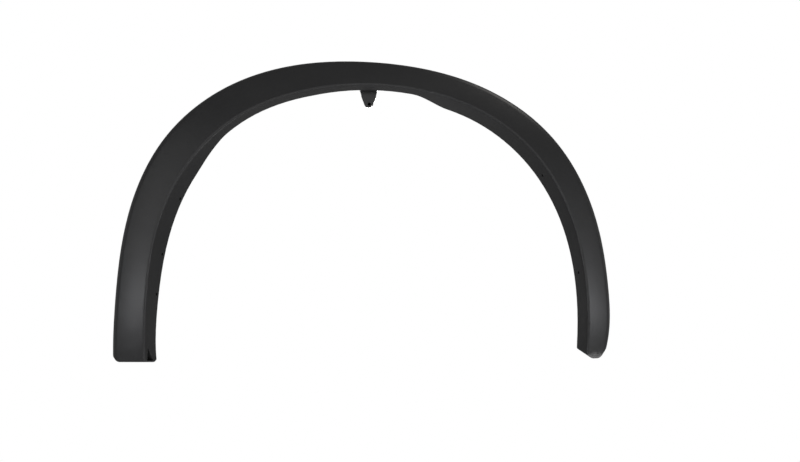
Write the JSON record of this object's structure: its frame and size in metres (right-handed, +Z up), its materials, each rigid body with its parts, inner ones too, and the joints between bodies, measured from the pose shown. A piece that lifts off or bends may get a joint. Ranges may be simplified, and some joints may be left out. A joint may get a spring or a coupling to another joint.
{
  "type": "fender trim",
  "caption": "Arched plastic trim that covers the edge of a car's wheel opening, with a crowned face, a turned-in flange, screw holes and a fixing tab at the top.",
  "frame": {"origin": "middle of the screw hole in the top tab, on the tab's outboard face", "axes": "-Y points out of the car, out of the tab hole's mouth; +Z is up as on the car; +X is to the right for someone facing the trim"},
  "size_m": [0.9254, 0.0801, 0.5667],
  "materials": {
    "grained_plastic": "fine moulded grain, matt charcoal black"
  },
  "bodies": {
    "root": {"fender_trim": "grained_plastic"}
  },
  "joints": []
}
